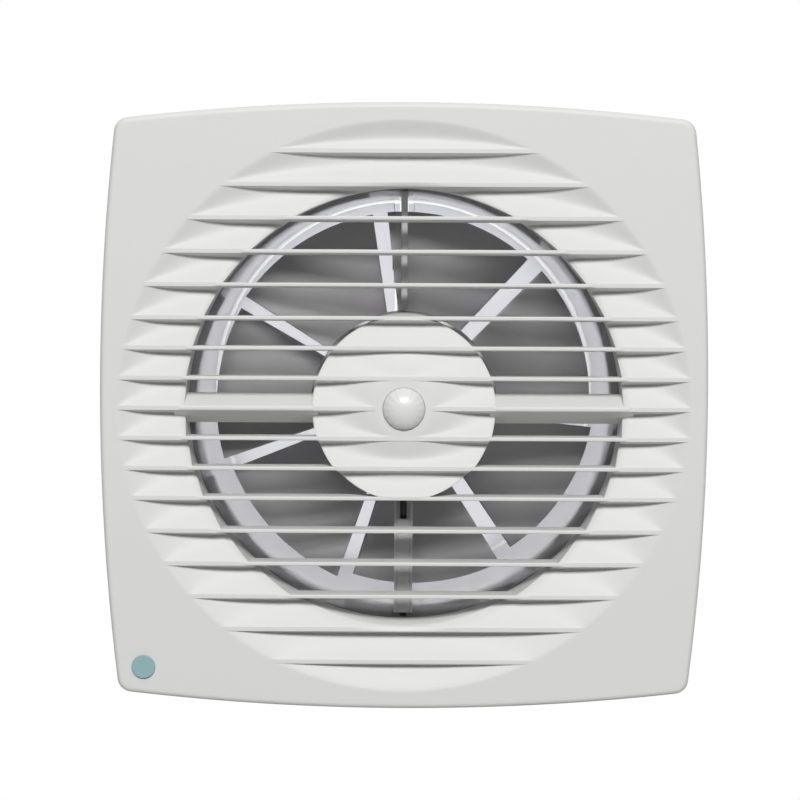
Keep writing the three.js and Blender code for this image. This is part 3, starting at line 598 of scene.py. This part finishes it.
def cover_shell():
    shape = Shape()
    shares = np.concatenate([ROLL_SHARES, np.linspace(0.15, 1, 40)])
    outer_edge, inner_edge = ring_face(shape, OPENING_RADIUS, DISH_RADIUS, dish_depth, shares)
    angles = np.arctan2(outer_edge[:, 2], outer_edge[:, 0])
    shape.grid([outer_edge, *cover_back(angles)], close_columns=True)
    inner_angles = np.arctan2(inner_edge[:, 2], inner_edge[:, 0])
    back = ring_loop(inner_angles, OPENING_RADIUS, COLLAR_BACK)
    shape.grid([inner_edge, back], close_columns=True)
    for x, z in COVER_POSTS:
        add_post(shape, x * MM, z * MM)
    return piece("cover_shell", shape.verts, shape.faces, "cover_plastic", "cover", ["cover_frame"])


def add_post(shape, x, z):
    """A snap post on the back of the cover."""
    front = FRONT + 1.2 * MM
    profile = [
        (0, front),
        (POST_RADIUS, front),
        (POST_RADIUS, POST_BACK - 1.8 * MM),
        (POST_RADIUS - POST_TAPER, POST_BACK),
        (0, POST_BACK),
    ]
    post = Shape()
    post.turned(profile, 24)
    shape.add([(px + x, py, pz + z) for px, py, pz in post.verts], post.faces)


def louvre_loop(height):
    front = LIP / 2
    back = LOUVRE_BACK / 2
    nose = FRONT + NOSE_INSET
    end = FRONT + LOUVRE_DEPTH
    points = [
        (nose, height + front),
        (nose, height - front),
        (end, height - LOUVRE_DROP - back),
        (end, height - LOUVRE_DROP + back),
    ]
    return rounded(points, LOUVRE_ROUNDING, 5)


def beam_loop():
    nose = FRONT + NOSE_INSET
    end = FRONT + BEAM_DEPTH
    points = [
        (nose, LIP / 2),
        (nose, -LIP / 2),
        (end, -BEAM_DOWN),
        (end + BEAM_LAND, -BEAM_DOWN),
        (end + BEAM_LAND, BEAM_UP),
        (end, BEAM_UP),
    ]
    return rounded(points, BEAM_ROUNDING, 5)


def cover_louvres():
    shape = Shape()
    reach = OPENING_RADIUS + LOUVRE_ROOT
    hub_reach = HUB_RADIUS - LOUVRE_IN_HUB
    names = ["beam_left", "beam_right"]
    for index in range(1, OPEN_LIPS + 1):
        for sign, side in ((1, "upper"), (-1, "lower")):
            height = lip_height(sign * index)
            end = math.sqrt(reach**2 - height**2)
            start = math.sqrt(max(hub_reach**2 - height**2, 0))
            names.append(f"{side}_louvre_{index}")
            if start:
                shape.extruded(louvre_loop(height), -end, -start)
                shape.extruded(louvre_loop(height), start, end)
            else:
                shape.extruded(louvre_loop(height), -end, end)
    shape.extruded(beam_loop(), -reach, -hub_reach)
    shape.extruded(beam_loop(), hub_reach, reach)
    return piece("cover_louvres", shape.verts, shape.faces, "cover_plastic", "cover", names)


def cover_hub():
    shape = Shape()
    shares = np.concatenate([np.linspace(0, 0.9, 34), 1 - np.array(HUB_EDGE_SHARES)])
    outer_edge, inner_edge = ring_face(shape, LENS_HOLE, HUB_RADIUS, hub_depth, shares)
    angles = np.arctan2(outer_edge[:, 2], outer_edge[:, 0])
    loops = [outer_edge]
    for radius, y in (
        (HUB_RADIUS, HUB_BACK - BACK_EDGE),
        (HUB_RADIUS - BACK_EDGE, HUB_BACK),
        (LENS_HOLE + 1 * MM, HUB_BACK),
        (LENS_HOLE + 1 * MM, POCKET_BACK),
        (LENS_HOLE, POCKET_BACK),
    ):
        loops.append(ring_loop(angles, radius, y))
    shape.grid(loops, close_columns=True)
    inner_angles = np.arctan2(inner_edge[:, 2], inner_edge[:, 0])
    shape.grid([inner_edge, ring_loop(inner_angles, LENS_HOLE, POCKET_BACK)], close_columns=True)
    return piece("cover_hub", shape.verts, shape.faces, "cover_plastic", "cover", ["hub_disc"])


# Lens and badge

def sensor_lens():
    """A milky dome of small facets, with a flat flange behind the hub disc."""
    shape = Shape()
    angles = np.linspace(0, TURN, LENS_SEGMENTS, endpoint=False)
    inner = LENS_RADIUS - LENS_WALL
    rows = []
    for turn in np.linspace(POLE, 1, LENS_ROWS) * math.pi / 2:
        facet = 1 - LENS_FACET * np.abs(np.sin(angles * LENS_FACETS / 2)) * math.sin(2 * turn)
        y = FRONT - LENS_RISE * math.cos(turn)
        reach = LENS_RADIUS * math.sin(turn) * facet
        rows.append([(r * math.cos(a), y, r * math.sin(a)) for a, r in zip(angles, reach)])
    for radius, y in (
        (LENS_RADIUS, FLANGE_FRONT),
        (LENS_FLANGE, FLANGE_FRONT),
        (LENS_FLANGE, FLANGE_BACK),
        (inner, FLANGE_BACK),
    ):
        rows.append(ring_loop(angles, radius, y))
    for turn in np.linspace(1, POLE, 16) * math.pi / 2:
        y = FRONT - (LENS_RISE - LENS_WALL) * math.cos(turn)
        rows.append(ring_loop(angles, inner * math.sin(turn), y))
    shape.capped(rows)
    return piece("lens_dome", shape.verts, shape.faces, "lens_plastic", "cover", ["sensor_lens"], 12)


def corner_badge():
    low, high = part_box("corner_badge")
    centre = (low + high) / 2
    radius = (high.x - low.x) / 2
    edge = 0.2 * MM
    shape = Shape()
    profile = [(0, high.y), (radius, high.y), (radius, low.y + edge), (radius - edge, low.y), (0, low.y)]
    shape.turned(profile, 64)
    points = [(x + centre.x, y, z + centre.z) for x, y, z in shape.verts]
    return piece("badge_disc", points, shape.faces, "badge_plastic", "cover", ["corner_badge"])


# Duct, cup and struts

def clear_duct():
    """The duct, which widens in front into a mouth with a rounded lip."""
    shape = Shape()
    low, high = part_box("duct_tube")
    edge = 0.4 * MM
    profile = [
        (DUCT_MOUTH - 0.35 * MM, low.y + 1.6 * MM),
        (DUCT_MOUTH, low.y + 0.6 * MM),
        (DUCT_MOUTH + 0.35 * MM, low.y + 0.15 * MM),
        (DUCT_MOUTH + 0.75 * MM, low.y),
        (DUCT_LIP - 0.35 * MM, low.y + 0.1 * MM),
        (DUCT_LIP, low.y + 0.6 * MM),
        (DUCT_LIP, low.y + 1.5 * MM),
        (DUCT_OUTER, DUCT_SHOULDER),
        (DUCT_OUTER, high.y - edge),
        (DUCT_OUTER - edge, high.y),
        (DUCT_INNER + edge, high.y),
        (DUCT_INNER, high.y - edge),
        (DUCT_INNER, MOUTH_BACK),
    ]
    shape.turned(profile, 192, close=True)
    return piece("clear_duct", shape.verts, shape.faces, "clear_plastic", "housing", ["duct_tube"])


def strut_reach(y):
    """How far out a strut ends at one depth: just short of the duct's wall."""
    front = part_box("duct_tube")[0].y
    share = max((MOUTH_BACK - y) / (MOUTH_BACK - front), 0)
    return DUCT_INNER + (DUCT_MOUTH - DUCT_INNER) * share - STRUT_GAP


def strut(name, width, degrees):
    """A rounded rib from a squarer foot at the cup to the duct's wall, turned to its place."""
    low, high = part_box(name)
    half = width / 2
    corners = [(-half, low.y), (half, low.y), (half, high.y), (-half, high.y)]
    section = rounded(corners, STRUT_ROUNDING)
    turn = Matrix.Rotation(-math.radians(degrees), 3, "Y")
    start = CUP_RADIUS + STRUT_GAP
    length = strut_reach(low.y) - start
    loops = []
    for share in np.linspace(0, 1, STRUT_STEPS):
        spread = 1 + FOOT_SPREAD * math.exp(-share * length / FOOT_FADE)
        loop = []
        for across, y in section:
            wide = math.copysign(min(abs(across) * spread, half), across)
            loop.append(turn @ Vector((start + (strut_reach(y) - start) * share, y, wide)))
        loops.append(loop)
    shape = Shape()
    shape.capped(loops)
    return piece(f"{name}_rib", shape.verts, shape.faces, "frosted_plastic", "housing", [name])


def struts():
    strut("strut_right", STRUT_WIDTH, 0)
    strut("strut_top", ROD_WIDTH, 90)
    strut("strut_left", STRUT_WIDTH, 180)


def channel():
    """The lower strut: a channel with an open mouth beside the cup."""
    low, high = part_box("strut_bottom")
    half = CHANNEL_WIDTH / 2
    inside = half - CHANNEL_WALL
    shape = Shape()
    parts = [
        (-half, -inside, low.y, high.y, low.z, high.z),
        (inside, half, low.y, high.y, low.z, high.z),
        (-inside, inside, low.y, low.y + CHANNEL_WALL, low.z, high.z - CHANNEL_MOUTH),
    ]
    for left, right, front, back, bottom, top in parts:
        corners = rounded([(left, front), (right, front), (right, back), (left, back)], 0.25 * MM, 2)
        shape.capped([[(x, y, z) for x, y in corners] for z in (bottom, top)])
    return piece(
        "cable_channel", shape.verts, shape.faces, "frosted_plastic", "housing", ["strut_bottom"], merge=1e-7
    )


def motor_cup():
    shape = Shape()
    low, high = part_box("motor_cup")
    outer = CUP_RADIUS
    inner = CUP_RADIUS - CUP_WALL
    profile = [
        (0, low.y),
        (outer - 1.2 * MM, low.y),
        (outer - 0.35 * MM, low.y + 0.35 * MM),
        (outer, low.y + 1.2 * MM),
        (outer, high.y),
        (inner, high.y),
        (inner, low.y + CUP_WALL),
        (0, low.y + CUP_WALL),
    ]
    shape.turned(profile, 128)
    return piece("frosted_cup", shape.verts, shape.faces, "frosted_plastic", "housing", ["motor_cup"])


# Impeller

def blade_points(rows=14, columns=28):
    """A blade standing at +X: its front and rear faces meet in rounded edges."""
    faces = []
    for face in (-1, 1):
        grid = []
        for row in range(rows + 1):
            along = row / rows
            radius = BLADE_ROOT + (BLADE_TIP - BLADE_ROOT) * along
            gap = ROOT_GAP + (TIP_GAP - ROOT_GAP) * along
            rise = ROOT_RISE + (TIP_RISE - ROOT_RISE) * along
            span = TURN / BLADES - gap / radius
            line = []
            for column in range(columns + 1):
                across = 0.5 - 0.5 * math.cos(math.pi * column / columns)
                angle = (0.5 - across) * span
                edge = min(across, 1 - across) * span * radius / BLADE_EDGE
                tip = (1 - along) * (BLADE_TIP - BLADE_ROOT) / BLADE_EDGE
                near = min(edge, tip, 1)
                thin = math.sqrt(1 - (1 - near) ** 2)
                y = BLADE_MIDDLE + (across - 0.5) * rise + CAMBER * math.sin(math.pi * across)
                y += face * thin * BLADE_THICKNESS / 2
                line.append((radius * math.cos(angle), y, radius * math.sin(angle)))
            grid.append(line)
        faces.append(grid)
    return faces


def impeller():
    shape = Shape()
    for index in range(BLADES):
        turn = Matrix.Rotation(-(FIRST_GAP + (index + 0.5) * TURN / BLADES), 3, "Y")
        front, rear = [
            [[tuple(turn @ Vector(point)) for point in line] for line in grid]
            for grid in blade_points()
        ]
        shape.grid(front)
        shape.grid(rear)
        shape.grid([front[0], rear[0]])
    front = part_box("impeller")[0].y + 0.1 * MM
    inside = IMPELLER_HUB - IMPELLER_HUB_WALL
    profile = [
        (SHAFT_BORE, front),
        (IMPELLER_HUB - 1.5 * MM, front),
        (IMPELLER_HUB - 0.4 * MM, front + 0.4 * MM),
        (IMPELLER_HUB, front + 1.4 * MM),
        (IMPELLER_HUB, IMPELLER_HUB_BACK),
        (inside, IMPELLER_HUB_BACK),
        (inside, 0),
        (BOSS_RADIUS, 0),
        (BOSS_RADIUS, BOSS_BACK),
        (SHAFT_BORE, BOSS_BACK),
    ]
    shape.turned(profile, 128, close=True)
    return piece("blade_wheel", shape.verts, shape.faces, "impeller_plastic", "rotor", ["impeller"])


# Shutter

def flap(side, knuckles, name, body):
    """A half disc with a rounded rim, its inner edge beside the pin, and the knuckles it swings on."""
    shape = Shape()
    limit = math.acos(FLAP_START / FLAP_RADIUS)
    angles = np.linspace(-limit, limit, 73)
    half = FLAP_THICKNESS / 2
    loops = []
    for inset, y in ((LEAF_EDGE, -half), (0, LEAF_EDGE - half), (0, half - LEAF_EDGE), (LEAF_EDGE, half)):
        radius = FLAP_RADIUS - inset
        across = np.maximum(radius * np.cos(angles), FLAP_START + inset)
        loops.append([(side * x, FLAP_Y + y, radius * math.sin(a)) for x, a in zip(across, angles)])
    shape.capped(loops)
    for height in knuckles:
        add_knuckle(shape, side, height * MM)
    for low, high in TONGUES:
        add_tongue(shape, side, low * MM, high * MM)
        add_tongue(shape, side, -high * MM, -low * MM)
    return piece(f"{name}_leaf", shape.verts, shape.faces, "shutter_plastic", body, [name])


def add_tongue(shape, side, bottom, top):
    """The leaf's thin inner edge, which nearly meets the pin between the knuckles."""
    start, end = TONGUE_START, FLAP_START + 0.3 * MM
    thin, thick = TONGUE_EDGE, FLAP_THICKNESS / 2 - 0.02 * MM
    outline = [(start, -thin), (end, -thick), (end, thick), (start, thin)]
    shape.capped([[(side * x, FLAP_Y + y, z) for x, y in outline] for z in (bottom, top)])


def add_knuckle(shape, side, height):
    """A roll about the pin, and the web that joins it to the leaf."""
    reach = KNUCKLE_LENGTH / 2
    bottom = height - reach
    top = height + reach
    profile = [
        (PIN_HOLE, bottom),
        (KNUCKLE_RADIUS - KNUCKLE_EDGE, bottom),
        (KNUCKLE_RADIUS, bottom + KNUCKLE_EDGE),
        (KNUCKLE_RADIUS, top - KNUCKLE_EDGE),
        (KNUCKLE_RADIUS - KNUCKLE_EDGE, top),
        (PIN_HOLE, top),
    ]
    roll = Shape()
    roll.turned(profile, 32, close=True)
    shape.add([(x, FLAP_Y + z, y) for x, y, z in roll.verts], roll.faces)
    half = FLAP_THICKNESS / 2
    ends = (PIN_HOLE + 0.3 * MM, FLAP_START + 0.8 * MM)
    corners = [(-half, bottom), (half, bottom), (half, top), (-half, top)]
    shape.capped([[(side * x, FLAP_Y + y, z) for y, z in corners] for x in ends])


# Stage

def softbox(name, place, aim, width, height, power):
    data = bpy.data.lights.new(name, "AREA")
    data.shape = "RECTANGLE"
    data.size = width
    data.size_y = height
    data.energy = power
    made = bpy.data.objects.new(name, data)
    bpy.context.scene.collection.objects.link(made)
    made.location = place
    made.rotation_euler = (Vector(aim) - Vector(place)).to_track_quat("-Z", "Y").to_euler()


def world():
    """White where the camera looks straight at it; its light comes from above and from behind the fan."""
    made = bpy.data.worlds.new("studio")
    made.use_nodes = True
    tree = made.node_tree
    light = tree.nodes["Background"]
    place = tree.nodes.new("ShaderNodeTexCoord")
    split = tree.nodes.new("ShaderNodeSeparateXYZ")
    tree.links.new(place.outputs["Generated"], split.inputs["Vector"])
    upward = ranged(tree, split.outputs["Z"], (0.0, 1.0), (WORLD_BELOW, WORLD_ABOVE))
    behind = ranged(tree, split.outputs["Y"], (0.3, 0.8), (0.0, WORLD_BEHIND))
    total = tree.nodes.new("ShaderNodeMath")
    total.operation = "MAXIMUM"
    tree.links.new(upward, total.inputs[0])
    tree.links.new(behind, total.inputs[1])
    tree.links.new(total.outputs["Value"], light.inputs["Color"])
    backdrop = tree.nodes.new("ShaderNodeBackground")
    backdrop.inputs["Color"].default_value = (1, 1, 1, 1)
    ray = tree.nodes.new("ShaderNodeLightPath")
    mix = tree.nodes.new("ShaderNodeMixShader")
    tree.links.new(ray.outputs["Is Camera Ray"], mix.inputs["Fac"])
    tree.links.new(light.outputs["Background"], mix.inputs[1])
    tree.links.new(backdrop.outputs["Background"], mix.inputs[2])
    tree.links.new(mix.outputs["Shader"], tree.nodes["World Output"].inputs["Surface"])
    bpy.context.scene.world = made


def ranged(tree, value, before, after):
    """A socket's value mapped from one range to another."""
    node = tree.nodes.new("ShaderNodeMapRange")
    node.inputs["From Min"].default_value, node.inputs["From Max"].default_value = before
    node.inputs["To Min"].default_value, node.inputs["To Max"].default_value = after
    tree.links.new(value, node.inputs["Value"])
    return node.outputs["Result"]


def floor():
    """A round pale table top, below the camera's view."""
    shape = Shape()
    top = FLOOR_HEIGHT
    under = top - FLOOR_THICKNESS
    profile = [(0, under), (FLOOR_RADIUS, under), (FLOOR_RADIUS, top), (0, top)]
    shape.turned(profile, 96)
    points = [(x, z, y) for x, y, z in shape.verts]
    mesh = bpy.data.meshes.new("floor")
    mesh.from_pydata(points, [], shape.faces)
    mesh.materials.append(material("floor_paint", (0.6, 0.6, 0.6), 0.8, 0.1 * MM, 0.1, 40, vary=0.01))
    made = bpy.data.objects.new("floor", mesh)
    bpy.context.scene.collection.objects.link(made)


def stage():
    world()
    floor()
    softbox("key", KEY_PLACE, (0, 0, 0), KEY_WIDTH, KEY_HEIGHT, KEY_POWER)
    bpy.context.scene.view_settings.view_transform = "Standard"


def camera():
    data = bpy.data.cameras.new("camera")
    data.lens = LENS_LENGTH
    data.sensor_width = 36
    made = bpy.data.objects.new("camera", data)
    bpy.context.scene.collection.objects.link(made)
    away = Vector((0, -math.cos(VIEW_HEIGHT), math.sin(VIEW_HEIGHT))) * VIEW_DISTANCE
    made.location = VIEW_AIM + away
    look = (-away).to_track_quat("-Z", "Y").to_matrix().to_4x4()
    made.rotation_euler = (look @ Matrix.Rotation(VIEW_ROLL, 4, "Z")).to_euler()
    bpy.context.scene.camera = made


camera()
stage()
cover_shell()
cover_louvres()
cover_hub()
sensor_lens()
corner_badge()
clear_duct()
motor_cup()
struts()
channel()
impeller()
flap(1, RIGHT_KNUCKLES, "flap_right", "right_flap")
flap(-1, LEFT_KNUCKLES, "flap_left", "left_flap")
for body, nodes in REFINED.items():
    for node, width in nodes.items():
        refined(node, body, width)
